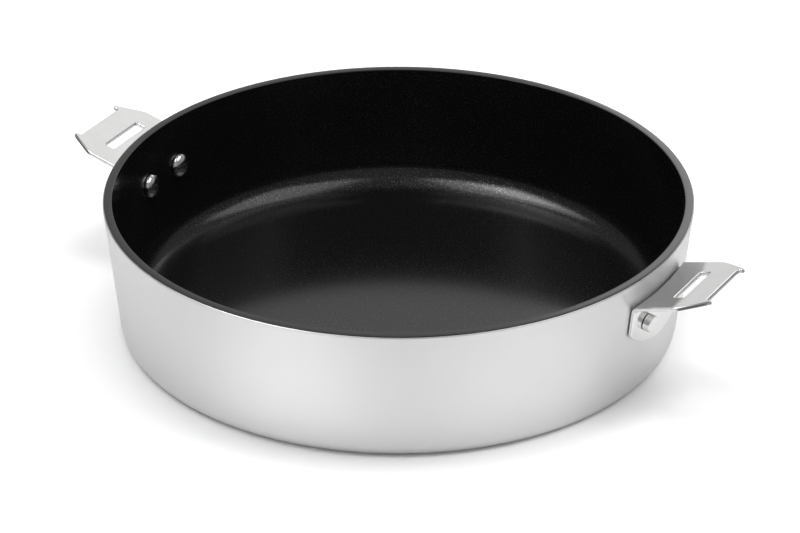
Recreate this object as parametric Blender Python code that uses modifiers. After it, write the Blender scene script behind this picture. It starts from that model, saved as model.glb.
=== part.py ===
"""Deep saute pan: a thick aluminium vessel with a non-stick lining and two riveted handle brackets.

Metres, +Z up. The origin is the middle of the underside, where the pan stands on a hob.
+X points out through the right bracket and -X through the left one.
"""

import math

import bmesh
import bpy
from mathutils import Matrix, Vector

# Vessel: outer shape
PAN_HEIGHT = 0.0685
RIM_RADIUS = 0.1446
WALL_DRAFT = math.radians(6.08)
OUTER_CORNER_RADIUS = 0.0062
RIM_EDGE_BREAK = 0.0005

# Vessel: wall, floor and lining
WALL_THICKNESS = 0.0046
FLOOR_THICKNESS = 0.0050
INNER_CORNER_RADIUS = 0.0140
LINING_THICKNESS = 0.0004
LINING_EDGE_RADIUS = 0.0004

# Steel disc let into the underside
DISC_RADIUS = 0.1050
DISC_THICKNESS = 0.0006

# Clearance between pieces that touch on the real pan
FIT_GAP = 0.0003

# Handle bracket: one stamped sheet with a flange on the wall and a plate that rises outward
SHEET_THICKNESS = 0.0020
BEND_INSIDE_RADIUS = 0.0020
PLATE_ANGLE = math.radians(15.1)
PLATE_DROP_AT_WALL = 0.0122
PLATE_REACH = 0.0306
BRACKET_HALF_WIDTH = 0.0264
SHOULDER_REACH = 0.0198
SHOULDER_RADIUS = 0.0090
HORN_REACH = 0.0333
HORN_SPACING = 0.0360
HORN_TIP_RADIUS = 0.0011
HORN_ROOT_RADIUS = 0.0010
SLOT_LENGTH = 0.0287
SLOT_WIDTH = 0.0052
SLOT_REACH = 0.0152
SLOT_CORNER_RADIUS = 0.0006
FLANGE_DEPTH = 0.0390
FLANGE_BOTTOM_RADIUS = 0.0400
FLANGE_CORNER_RADIUS = 0.0030

# Rivets: a domed head inside the pan and a button head outside the flange
RIVET_SPACING = 0.0280
RIVET_DROP = 0.0255
RIVET_SHANK_RADIUS = 0.0025
DOME_RADIUS = 0.0061
DOME_HEIGHT = 0.0030
DOME_EDGE = 0.0004
BUTTON_RADIUS = 0.0043
BUTTON_HEIGHT = 0.0034
BUTTON_EDGE_RADIUS = 0.0007

# Faceting, and rounds of closing in on the line where plate and flange meet
VESSEL_STEPS = 96
RIVET_STEPS = 24
CORNER_STEPS = 6
EDGE_STEPS = 3
BEND_STEPS = 6
SHEET_STEPS_ACROSS = 12
FLANGE_STEPS_DOWN = 3
ROUND_STEP = math.radians(15)
MEETING_ROUNDS = 6

# Cutters and sheet blanks run past what they cut by this much
OVERRUN = 0.0050
MERGE_DISTANCE = 0.000001

FULL_TURN = math.tau
QUARTER_TURN = math.pi / 2
DRAFT_TAN = math.tan(WALL_DRAFT)
DRAFT_COS = math.cos(WALL_DRAFT)
DRAFT_SIN = math.sin(WALL_DRAFT)


def clear_scene():
    """Remove the objects of the scene that the script starts in."""
    for existing in list(bpy.data.objects):
        bpy.data.objects.remove(existing, do_unlink=True)


def new_collection(name):
    """Make a collection in the scene."""
    collection = bpy.data.collections.new(name)
    bpy.context.scene.collection.children.link(collection)
    return collection


def new_material(name, colour, roughness, metallic):
    """Make a Principled material of one colour."""
    material = bpy.data.materials.new(name)
    material.use_nodes = True
    shader = material.node_tree.nodes["Principled BSDF"]
    shader.inputs["Base Color"].default_value = (*colour, 1.0)
    shader.inputs["Roughness"].default_value = roughness
    shader.inputs["Metallic"].default_value = metallic
    return material


def add_object(name, data, collection, parent=None):
    """Place an object in a collection, under a parent if one is given."""
    created = bpy.data.objects.new(name, data)
    collection.objects.link(created)
    created.parent = parent
    return created


def mark_as_cutter(cutter):
    """Show a cutter as wires and keep it out of renders."""
    cutter.hide_render = True
    cutter.display_type = "WIRE"


def arc(centre, radius, start, end, steps):
    """Points along a circular arc, both ends included."""
    turn = end - start
    angles = [start + turn * step / steps for step in range(steps + 1)]
    return [
        (centre[0] + radius * math.cos(angle), centre[1] + radius * math.sin(angle))
        for angle in angles
    ]


def arc_steps(start, end):
    """Number of straight pieces for an arc, from its angle."""
    return max(2, math.ceil(abs(end - start) / ROUND_STEP))


def turned_object(name, profile, steps, material, collection, parent=None):
    """Turn a profile of (radius, height) points about Z; it runs down the outer side."""
    mesh = bpy.data.meshes.new(name)
    points = [(radius, 0.0, height) for radius, height in profile]
    edges = [(index, index + 1) for index in range(len(points) - 1)]
    mesh.from_pydata(points, edges, [])
    mesh.materials.append(material)
    turned = add_object(name, mesh, collection, parent)
    screw = turned.modifiers.new("turn", "SCREW")
    screw.axis = "Z"
    screw.angle = FULL_TURN
    screw.steps = steps
    screw.render_steps = steps
    screw.use_merge_vertices = True
    screw.merge_threshold = MERGE_DISTANCE
    screw.use_smooth_shade = True
    return turned


def extruded_outline(name, loops, half_length, collection):
    """Extrude a flat outline, with holes, both ways along Z into a welded mesh object."""
    curve = bpy.data.curves.new(name, "CURVE")
    curve.dimensions = "2D"
    curve.fill_mode = "BOTH"
    curve.extrude = half_length
    for loop in loops:
        spline = curve.splines.new("POLY")
        spline.points.add(len(loop) - 1)
        for point, (x, y) in zip(spline.points, loop):
            point.co = (x, y, 0.0, 1.0)
        spline.use_cyclic_u = True
    outline = add_object(name, curve, collection)
    bpy.context.view_layer.update()
    evaluated = outline.evaluated_get(bpy.context.evaluated_depsgraph_get())
    mesh = bpy.data.meshes.new_from_object(evaluated)
    bpy.data.objects.remove(outline, do_unlink=True)
    weld(mesh)
    solid = add_object(name, mesh, collection)
    mark_as_cutter(solid)
    return solid


def weld(mesh):
    """Join the loose caps of a mesh made from a curve."""
    work = bmesh.new()
    work.from_mesh(mesh)
    bmesh.ops.remove_doubles(work, verts=work.verts, dist=MERGE_DISTANCE)
    bmesh.ops.recalc_face_normals(work, faces=work.faces)
    work.to_mesh(mesh)
    work.free()


def boolean(target, operation, cutter):
    """Cut a target with one object, or keep what the two share."""
    modifier = target.modifiers.new(cutter.name, "BOOLEAN")
    modifier.operation = operation
    modifier.object = cutter
    modifier.solver = "EXACT"


def outer_wall_radius(height):
    """Radius of the vessel's outer cone at a height."""
    return RIM_RADIUS - (PAN_HEIGHT - height) * DRAFT_TAN


def corner_centre(wall_distance, corner_radius, corner_height):
    """Centre of a corner arc that is tangent to a level floor and to the sloping wall.

    The wall is the line radius * cos(draft) - height * sin(draft) = wall_distance.
    """
    reach = (wall_distance - corner_radius + corner_height * DRAFT_SIN) / DRAFT_COS
    return reach, corner_height


def cavity_profile(offset, top):
    """Profile of the cavity, or of a surface behind it by offset, from the axis up to a height."""
    inner_rim_radius = RIM_RADIUS - WALL_THICKNESS
    wall_distance = inner_rim_radius * DRAFT_COS - PAN_HEIGHT * DRAFT_SIN
    centre = corner_centre(wall_distance, INNER_CORNER_RADIUS, FLOOR_THICKNESS + INNER_CORNER_RADIUS)
    corner = arc(centre, INNER_CORNER_RADIUS + offset, -QUARTER_TURN, -WALL_DRAFT, CORNER_STEPS)
    top_radius = (wall_distance + offset + top * DRAFT_SIN) / DRAFT_COS
    return [(0.0, FLOOR_THICKNESS - offset)] + corner + [(top_radius, top)]


def pan_body_profile():
    """Cross-section of the aluminium vessel, with its seat for the steel disc."""
    rim_top = PAN_HEIGHT - LINING_THICKNESS - FIT_GAP
    inside = cavity_profile(LINING_THICKNESS + FIT_GAP, rim_top)
    edge_height = rim_top - RIM_EDGE_BREAK
    rim = [
        (outer_wall_radius(rim_top) - RIM_EDGE_BREAK, rim_top),
        (outer_wall_radius(edge_height), edge_height),
    ]
    wall_distance = RIM_RADIUS * DRAFT_COS - PAN_HEIGHT * DRAFT_SIN
    centre = corner_centre(wall_distance, OUTER_CORNER_RADIUS, OUTER_CORNER_RADIUS)
    corner = arc(centre, OUTER_CORNER_RADIUS, -WALL_DRAFT, -QUARTER_TURN, CORNER_STEPS)
    seat_radius = DISC_RADIUS + FIT_GAP
    seat_height = DISC_THICKNESS + FIT_GAP
    seat = [(seat_radius, 0.0), (seat_radius, seat_height), (0.0, seat_height)]
    return inside + rim + corner + seat


def lining_profile():
    """Cross-section of the non-stick lining, which turns over the rim to its outer edge."""
    cap_under = PAN_HEIGHT - LINING_THICKNESS
    inside = cavity_profile(0.0, PAN_HEIGHT - LINING_EDGE_RADIUS)
    inner_radius, edge_height = inside[-1]
    edge_centre = (inner_radius + LINING_EDGE_RADIUS, edge_height)
    inner_edge = arc(edge_centre, LINING_EDGE_RADIUS, math.pi, QUARTER_TURN, EDGE_STEPS)[1:]
    cap_radius = outer_wall_radius(cap_under) - RIM_EDGE_BREAK
    cap = [(cap_radius, PAN_HEIGHT), (cap_radius, cap_under)]
    back = cavity_profile(LINING_THICKNESS, cap_under)
    back.reverse()
    return inside + inner_edge + cap + back


def disc_profile():
    """Cross-section of the steel disc."""
    return [(0.0, DISC_THICKNESS), (DISC_RADIUS, DISC_THICKNESS), (DISC_RADIUS, 0.0), (0.0, 0.0)]


def rivet_profile():
    """Cross-section of a set rivet, along an axis that starts on the wall's outer face.

    Positive is outward. The domed head lies flat on the hollow side of the lining, so its
    edge would touch first: its seat is lifted by that sagitta.
    """
    flange_face = FIT_GAP + SHEET_THICKNESS
    button_seat = flange_face + FIT_GAP
    button_top = button_seat + BUTTON_HEIGHT
    inner_radius = outer_wall_radius(PAN_HEIGHT - RIVET_DROP) - WALL_THICKNESS
    sagitta = DOME_RADIUS * DOME_RADIUS / (2 * inner_radius)
    dome_seat = -(WALL_THICKNESS * DRAFT_COS + FIT_GAP + sagitta)
    dome_brim = dome_seat - DOME_EDGE
    ball_radius = (DOME_RADIUS**2 + DOME_HEIGHT**2) / (2 * DOME_HEIGHT)
    ball_centre = dome_brim - DOME_HEIGHT + ball_radius
    brim_angle = math.asin(DOME_RADIUS / ball_radius)
    edge_centre = (BUTTON_RADIUS - BUTTON_EDGE_RADIUS, button_top - BUTTON_EDGE_RADIUS)
    button = [(0.0, button_top)]
    button += arc(edge_centre, BUTTON_EDGE_RADIUS, QUARTER_TURN, 0.0, EDGE_STEPS)
    button += [(BUTTON_RADIUS, button_seat)]
    shank = [(RIVET_SHANK_RADIUS, button_seat), (RIVET_SHANK_RADIUS, dome_seat)]
    dome = [(DOME_RADIUS, dome_seat)]
    dome += arc((0.0, ball_centre), ball_radius, brim_angle - QUARTER_TURN, -QUARTER_TURN, CORNER_STEPS)
    return button + shank + dome


def plate_top_height(reach):
    """Height of the plate's upper face at a distance beyond the rim radius."""
    return PAN_HEIGHT - PLATE_DROP_AT_WALL + reach * math.tan(PLATE_ANGLE)


def sheet_section(across):
    """Middle line of the bracket's sheet at one place across it, as (outward, height) points.

    It runs along the plate, round the bend and down the flange, which follows the wall.
    """
    half_sheet = SHEET_THICKNESS / 2
    bend_radius = BEND_INSIDE_RADIUS + half_sheet
    along_plate = Vector((math.cos(PLATE_ANGLE), math.sin(PLATE_ANGLE)))

    def flange_outward(height):
        ring = outer_wall_radius(height) + (FIT_GAP + half_sheet) / DRAFT_COS
        return math.sqrt(ring * ring - across * across)

    def plate_height(outward):
        return plate_top_height(outward - RIM_RADIUS) - half_sheet / math.cos(PLATE_ANGLE)

    corner = Vector((RIM_RADIUS, plate_height(RIM_RADIUS)))
    for _ in range(MEETING_ROUNDS):
        outward = flange_outward(corner.y)
        corner = Vector((outward, plate_height(outward)))
    flange_lean = DRAFT_TAN * outer_wall_radius(corner.y) / corner.x
    down_flange = Vector((-flange_lean, -1.0)).normalized()
    bend_angle = down_flange.angle(along_plate)
    inward = (along_plate + down_flange).normalized()
    bend_centre = corner + inward * bend_radius / math.sin(bend_angle / 2)
    tip_outward = RIM_RADIUS + HORN_REACH + OVERRUN
    section = [(tip_outward, plate_height(tip_outward))]
    plate_side = QUARTER_TURN + PLATE_ANGLE
    wall_side = math.pi - math.atan(flange_lean)
    section += arc(bend_centre, bend_radius, plate_side, wall_side, BEND_STEPS)
    flange_start_height = section[-1][1]
    flange_end_height = PAN_HEIGHT - FLANGE_DEPTH - OVERRUN
    for step in range(1, FLANGE_STEPS_DOWN + 1):
        share = step / FLANGE_STEPS_DOWN
        height = flange_start_height + (flange_end_height - flange_start_height) * share
        section.append((flange_outward(height), height))
    return section


def sheet_blank(name, collection, parent, material):
    """Formed sheet of the bracket before its outline is cut: a grid laid along the sections."""
    half_width = BRACKET_HALF_WIDTH + OVERRUN
    columns = SHEET_STEPS_ACROSS
    rows = BEND_STEPS + FLANGE_STEPS_DOWN + 1
    work = bmesh.new()
    bmesh.ops.create_grid(work, x_segments=rows, y_segments=columns, size=1.0)
    sections = {}
    for vertex in work.verts:
        row = round((vertex.co.x + 1.0) / 2.0 * rows)
        across = vertex.co.y * half_width
        column = round((vertex.co.y + 1.0) / 2.0 * columns)
        if column not in sections:
            sections[column] = sheet_section(across)
        outward, height = sections[column][row]
        vertex.co = (outward, across, height)
    bmesh.ops.recalc_face_normals(work, faces=work.faces)
    mesh = bpy.data.meshes.new(name)
    work.to_mesh(mesh)
    work.free()
    mesh.materials.append(material)
    blank = add_object(name, mesh, collection, parent)
    thicken = blank.modifiers.new("sheet_thickness", "SOLIDIFY")
    thicken.thickness = SHEET_THICKNESS
    thicken.offset = 0.0
    thicken.use_even_offset = True
    return blank


def plate_outline():
    """Outline of the bracket seen square to its plate, with its slot, as (outward, across) loops.

    The sides run straight to a rounded shoulder, from which a straight chamfer leads to the round
    tip of a horn. There is a horn on each side of the straight end edge.
    """
    cos_plate = math.cos(PLATE_ANGLE)
    shoulder = Vector((SHOULDER_REACH / cos_plate, BRACKET_HALF_WIDTH))
    tip_centre = Vector((HORN_REACH / cos_plate - HORN_TIP_RADIUS, HORN_SPACING / 2))
    chamfer = tip_centre - shoulder
    chamfer_angle = math.atan2(chamfer.y, chamfer.x) + math.asin(HORN_TIP_RADIUS / chamfer.length)
    chamfer_side = QUARTER_TURN + chamfer_angle
    shoulder_start = shoulder.x - SHOULDER_RADIUS * math.tan(-chamfer_angle / 2)
    shoulder_centre = (shoulder_start, BRACKET_HALF_WIDTH - SHOULDER_RADIUS)
    end = PLATE_REACH / cos_plate
    root_centre = (end + HORN_ROOT_RADIUS, tip_centre.y - HORN_TIP_RADIUS - HORN_ROOT_RADIUS)

    inner_end = -(FLANGE_DEPTH + OVERRUN) * math.sin(PLATE_ANGLE) - OVERRUN * 2
    half = [(inner_end, BRACKET_HALF_WIDTH)]
    half += arc(shoulder_centre, SHOULDER_RADIUS, QUARTER_TURN, chamfer_side, CORNER_STEPS)
    half += arc(tip_centre, HORN_TIP_RADIUS, chamfer_side, -QUARTER_TURN, CORNER_STEPS)
    half += arc(root_centre, HORN_ROOT_RADIUS, QUARTER_TURN, math.pi, EDGE_STEPS)
    other_half = [(outward, -across) for outward, across in reversed(half)]

    slot_centre = (SLOT_REACH / cos_plate, 0.0)
    slot = rounded_rectangle(slot_centre, SLOT_WIDTH, SLOT_LENGTH, SLOT_CORNER_RADIUS)
    return [half + other_half, slot]


def rounded_rectangle(centre, width, length, radius):
    """Closed loop of a rectangle with rounded corners, width along X and length along Y."""
    corners = [(1, 1, 0.0), (-1, 1, QUARTER_TURN), (-1, -1, math.pi), (1, -1, -QUARTER_TURN)]
    loop = []
    for side_x, side_y, start in corners:
        x = centre[0] + side_x * (width / 2 - radius)
        y = centre[1] + side_y * (length / 2 - radius)
        loop += arc((x, y), radius, start, start + QUARTER_TURN, EDGE_STEPS)
    return loop


def flange_outline():
    """Outline of the flange seen square to the wall, as one (across, height) loop.

    The bottom is a wide arc with a rounded corner at each side, moved out by the fit gap so that
    it ends just outside the sides, which the plate outline cuts.
    """
    bottom_centre = (0.0, PAN_HEIGHT - FLANGE_DEPTH + FLANGE_BOTTOM_RADIUS)
    corner_across = BRACKET_HALF_WIDTH - FLANGE_CORNER_RADIUS
    corner_reach = FLANGE_BOTTOM_RADIUS - FLANGE_CORNER_RADIUS
    corner_angle = -math.acos(corner_across / corner_reach)
    corner_height = bottom_centre[1] + corner_reach * math.sin(corner_angle)
    wide = BRACKET_HALF_WIDTH + OVERRUN * 2
    top = PAN_HEIGHT + OVERRUN
    half = [(wide, top), (wide, corner_height)]
    half += arc(
        (corner_across + FIT_GAP, corner_height),
        FLANGE_CORNER_RADIUS, 0.0, corner_angle, EDGE_STEPS,
    )
    bottom_steps = arc_steps(corner_angle, -QUARTER_TURN)
    half += arc(bottom_centre, FLANGE_BOTTOM_RADIUS, corner_angle, -QUARTER_TURN, bottom_steps)[1:]
    other_half = [(-across, height) for across, height in reversed(half[:-1])]
    return half + other_half


def rivet_frames():
    """Placement of the two rivets of a bracket: origin on the wall's outer face, +Z outward."""
    height = PAN_HEIGHT - RIVET_DROP
    wall = outer_wall_radius(height)
    half_angle = math.asin(RIVET_SPACING / 2 / wall)
    frames = {}
    for side, sign in (("front", -1), ("rear", 1)):
        azimuth = sign * half_angle
        normal = Vector((
            DRAFT_COS * math.cos(azimuth), DRAFT_COS * math.sin(azimuth), -DRAFT_SIN,
        ))
        seat = Vector((wall * math.cos(azimuth), wall * math.sin(azimuth), height))
        rotation = normal.to_track_quat("Z", "Y").to_matrix().to_4x4()
        frames[side] = Matrix.Translation(seat) @ rotation
    return frames


def rivet_hole_cutter(name, frame, collection, parent):
    """Cylinder that clears a rivet's shank through the wall, the lining and the flange."""
    length = 2 * (WALL_THICKNESS + SHEET_THICKNESS + OVERRUN)
    work = bmesh.new()
    bmesh.ops.create_cone(
        work,
        cap_ends=True,
        segments=RIVET_STEPS,
        radius1=RIVET_SHANK_RADIUS + FIT_GAP,
        radius2=RIVET_SHANK_RADIUS + FIT_GAP,
        depth=length,
    )
    mesh = bpy.data.meshes.new(name)
    work.to_mesh(mesh)
    work.free()
    cutter = add_object(name, mesh, collection, parent)
    cutter.matrix_local = frame
    mark_as_cutter(cutter)
    return cutter


def outline_cutters(side, collection, parent):
    """The two prisms that a bracket's sheet is trimmed with."""
    plate = extruded_outline(
        f"plate_outline_{side}", plate_outline(), FLANGE_DEPTH + OVERRUN, collection,
    )
    plate.parent = parent
    plate.matrix_local = (
        Matrix.Translation((RIM_RADIUS, 0.0, plate_top_height(0.0)))
        @ Matrix.Rotation(-PLATE_ANGLE, 4, "Y")
    )
    flange = extruded_outline(
        f"flange_outline_{side}", [flange_outline()], HORN_REACH + OVERRUN, collection,
    )
    flange.parent = parent
    facing = Matrix(((0.0, 0.0, 1.0), (1.0, 0.0, 0.0), (0.0, 1.0, 0.0))).to_4x4()
    flange.matrix_local = Matrix.Translation((RIM_RADIUS, 0.0, 0.0)) @ facing
    return plate, flange


def build_bracket(side, turn, parts, cutters, steel, rivet_steel):
    """One handle bracket with its two rivets, on a station turned about the pan's axis.

    Returns the cutters of the rivet holes, which the wall and the lining need too.
    """
    station = add_object(f"bracket_station_{side}", None, parts)
    station.rotation_euler = (0.0, 0.0, turn)
    bracket = sheet_blank(f"handle_bracket_{side}", parts, station, steel)
    plate_cutter, flange_cutter = outline_cutters(side, cutters, station)
    boolean(bracket, "INTERSECT", plate_cutter)
    boolean(bracket, "INTERSECT", flange_cutter)
    holes = []
    for place, frame in rivet_frames().items():
        hole = rivet_hole_cutter(f"rivet_hole_{side}_{place}", frame, cutters, station)
        boolean(bracket, "DIFFERENCE", hole)
        holes.append(hole)
        rivet = turned_object(
            f"rivet_{side}_{place}", rivet_profile(), RIVET_STEPS, rivet_steel, parts, station,
        )
        rivet.matrix_local = frame
    return holes


def build_pan():
    """Build every piece of the pan."""
    parts = new_collection("deep_saute_pan")
    cutters = new_collection("cutters")
    aluminium = new_material("satin_aluminium", (0.62, 0.62, 0.63), 0.34, 1.0)
    coating = new_material("black_nonstick", (0.012, 0.012, 0.013), 0.28, 0.0)
    base_steel = new_material("disc_steel", (0.50, 0.50, 0.51), 0.38, 1.0)
    bracket_steel = new_material("bracket_steel", (0.66, 0.66, 0.66), 0.16, 1.0)
    rivet_steel = new_material("polished_steel", (0.72, 0.72, 0.72), 0.10, 1.0)

    body = turned_object("pan_body", pan_body_profile(), VESSEL_STEPS, aluminium, parts)
    lining = turned_object("nonstick_lining", lining_profile(), VESSEL_STEPS, coating, parts)
    turned_object("base_disc", disc_profile(), VESSEL_STEPS, base_steel, parts)
    for side, turn in (("right", 0.0), ("left", math.pi)):
        for hole in build_bracket(side, turn, parts, cutters, bracket_steel, rivet_steel):
            boolean(body, "DIFFERENCE", hole)
            boolean(lining, "DIFFERENCE", hole)


clear_scene()
build_pan()
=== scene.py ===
"""Deep saute pan, dressed: fine meshes, finishes, floor, lamps and the camera of the photograph.

Metres, +Z up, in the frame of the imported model. The origin is the middle of the underside and
+X points out through the right bracket.
"""

import logging
import math
from dataclasses import dataclass, field
from enum import Enum

import bmesh
import bpy
from mathutils import Matrix, Vector

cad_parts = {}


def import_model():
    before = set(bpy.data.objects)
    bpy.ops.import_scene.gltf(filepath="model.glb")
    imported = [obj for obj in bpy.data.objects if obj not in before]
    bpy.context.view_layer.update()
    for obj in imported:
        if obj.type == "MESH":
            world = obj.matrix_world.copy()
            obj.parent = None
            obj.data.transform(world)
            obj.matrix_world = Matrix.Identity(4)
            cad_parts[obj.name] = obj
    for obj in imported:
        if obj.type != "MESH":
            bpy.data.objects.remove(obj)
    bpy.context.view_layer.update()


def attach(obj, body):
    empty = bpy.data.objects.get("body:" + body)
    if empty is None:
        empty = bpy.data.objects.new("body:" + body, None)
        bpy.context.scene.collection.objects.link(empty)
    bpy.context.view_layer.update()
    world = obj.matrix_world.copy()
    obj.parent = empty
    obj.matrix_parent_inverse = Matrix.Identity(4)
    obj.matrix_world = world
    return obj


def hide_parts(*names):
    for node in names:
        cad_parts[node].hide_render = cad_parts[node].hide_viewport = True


Point = tuple[float, float]
Profile = list[Point]
Triple = tuple[float, float, float]
Mesh = bpy.types.Mesh
Material = bpy.types.Material
Node = bpy.types.Node
Socket = bpy.types.NodeSocket
Value = Socket | float
Colour = Socket | Triple

LOG = logging.getLogger("saute_pan")

FULL_TURN = math.tau
QUARTER_TURN = math.pi / 2
MERGE_DISTANCE = 1e-6
SHARP_ANGLE = math.radians(38)

BLACK = (0.0, 0.0, 0.0)
PLAIN_RESULTS = ("LENGTH", "DISTANCE", "DOT_PRODUCT")


class Side(Enum):
    """Which end of the pan a bracket is on, with its turn about the pan's axis."""

    RIGHT = 0.0
    LEFT = math.pi


class Place(Enum):
    """Which of a bracket's two rivets, with the sign of its place across the bracket."""

    FRONT = -1
    REAR = 1


class Zone(Enum):
    """Parts of the bracket's surface that are finished apart."""

    FACE = 0
    ROUNDED = 1
    SHEARED = 2


def word(choice: Enum) -> str:
    """Name of a side or place, as the pieces' names use it."""
    return choice.name.lower()


def arc(centre: Point, radius: float, start: float, end: float, steps: int) -> Profile:
    """Points along a circular arc.

    Args:
        centre: Its middle.
        radius: Its radius.
        start: First angle, in radians.
        end: Last angle, in radians.
        steps: Number of straight pieces.

    Returns:
        The points, both ends included.
    """
    angles = (start + (end - start) / steps * step for step in range(steps + 1))
    return [
        (centre[0] + radius * math.cos(angle), centre[1] + radius * math.sin(angle))
        for angle in angles
    ]


def supported(profile: Profile, reach: float, longest: float = 0.004) -> Profile:
    """Add a point close to each end of every long run, so that shading stays true along it.

    Args:
        profile: Points of a cross-section.
        reach: Distance of the added points from the ends.
        longest: Runs longer than this get such points.

    Returns:
        The profile with its added points.
    """
    result = [profile[0]]
    for first, last in zip(profile, profile[1:]):
        start, end = Vector(first), Vector(last)
        length = (end - start).length
        if length > longest:
            for share in (reach / length, 1.0 - reach / length):
                result.append(tuple(start.lerp(end, share)))
        result.append(last)
    return result


def mesh_of(name: str, work: bmesh.types.BMesh) -> Mesh:
    """Turn a bmesh into a mesh.

    Args:
        name: Name of the mesh.
        work: The bmesh, which is used up.

    Returns:
        The mesh.
    """
    mesh = bpy.data.meshes.new(name)
    work.to_mesh(mesh)
    work.free()
    return mesh


def smooth(mesh: Mesh) -> Mesh:
    """Shade a mesh smooth but for its sharp edges.

    Args:
        mesh: Mesh to shade.

    Returns:
        The same mesh.
    """
    mesh.shade_smooth()
    mesh.set_sharp_from_angle(angle=SHARP_ANGLE)
    return mesh


def put_in_scene(name: str, data: bpy.types.ID) -> bpy.types.Object:
    """Make an object and put it in the scene.

    Args:
        name: Name of the object.
        data: Its mesh, lamp or lens.

    Returns:
        The object.
    """
    thing = bpy.data.objects.new(name, data)
    bpy.context.scene.collection.objects.link(thing)
    return thing


def spin_mesh(name: str, profile: Profile, steps: int, place: Matrix | None = None) -> Mesh:
    """Turn a cross-section of (radius, height) points a full turn about Z.

    Args:
        name: Name of the mesh.
        profile: Cross-section, from one end on the axis to the other.
        steps: Number of straight pieces in the full turn.
        place: Where the turned shape goes, or None to leave it on the axis.

    Returns:
        The mesh, closed, with outward faces.
    """
    work = bmesh.new()
    verts = [work.verts.new((radius, 0.0, height)) for radius, height in profile]
    edges = [work.edges.new(pair) for pair in zip(verts, verts[1:])]
    bmesh.ops.spin(
        work, geom=verts + edges, axis=(0.0, 0.0, 1.0), cent=(0.0, 0.0, 0.0),
        steps=steps, angle=FULL_TURN, use_merge=True,
    )
    bmesh.ops.remove_doubles(work, verts=work.verts, dist=MERGE_DISTANCE)
    bmesh.ops.recalc_face_normals(work, faces=work.faces)
    if place is not None:
        bmesh.ops.transform(work, matrix=place, verts=work.verts)
    return smooth(mesh_of(name, work))


def add_piece(mesh: Mesh, node: str, slot: str, *finishes: Material) -> None:
    """Put a mesh in the scene in place of a CAD node, riding on the root body.

    Args:
        mesh: The piece's mesh, in place, whose name the piece takes.
        node: CAD node that it stands for.
        slot: Name of a material slot, which is not used.
        finishes: Materials, in the order of the mesh's material numbers.
    """
    for finish in finishes:
        mesh.materials.append(finish)
    piece = put_in_scene(mesh.name, mesh)
    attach(piece, "root")
    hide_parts(node)
    LOG.info("%s stands for %s: %d faces", mesh.name, node, len(mesh.polygons))


def drill(mesh: Mesh, holes: list[Mesh]) -> Mesh:
    """Cut holes through a mesh.

    Args:
        mesh: Mesh to drill, which is used up.
        holes: Closed meshes to take away, which are used up.

    Returns:
        The drilled mesh, under the same name.
    """
    name = mesh.name
    target = put_in_scene(name, mesh)
    cutters = [put_in_scene(hole.name, hole) for hole in holes]
    for cutter in cutters:
        cut = target.modifiers.new(cutter.name, "BOOLEAN")
        cut.operation, cut.solver, cut.object = "DIFFERENCE", "EXACT", cutter
    bpy.context.view_layer.update()
    evaluated = target.evaluated_get(bpy.context.evaluated_depsgraph_get())
    drilled = bpy.data.meshes.new_from_object(evaluated)
    for used in [target, *cutters]:
        used_mesh = used.data
        bpy.data.objects.remove(used)
        bpy.data.meshes.remove(used_mesh)
    drilled.name = name
    drilled.materials.clear()
    return smooth(drilled)


@dataclass(frozen=True)
class Grain:
    """A noise: features per metre, finer layers, their strength and a stretch per axis."""

    scale: float
    detail: float = 2.0
    strength: float = 0.5
    stretch: Triple = (1.0, 1.0, 1.0)


@dataclass(frozen=True)
class Relief:
    """A pattern's height: the share of its tilt that is used, and metres from low to high."""

    share: float
    depth: float


TURNED = Grain(1.0, 3.0, 0.6, (1.6, 1.6, 0.0))
MID_GREY = (0.5, 0.5, 0.5)


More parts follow.
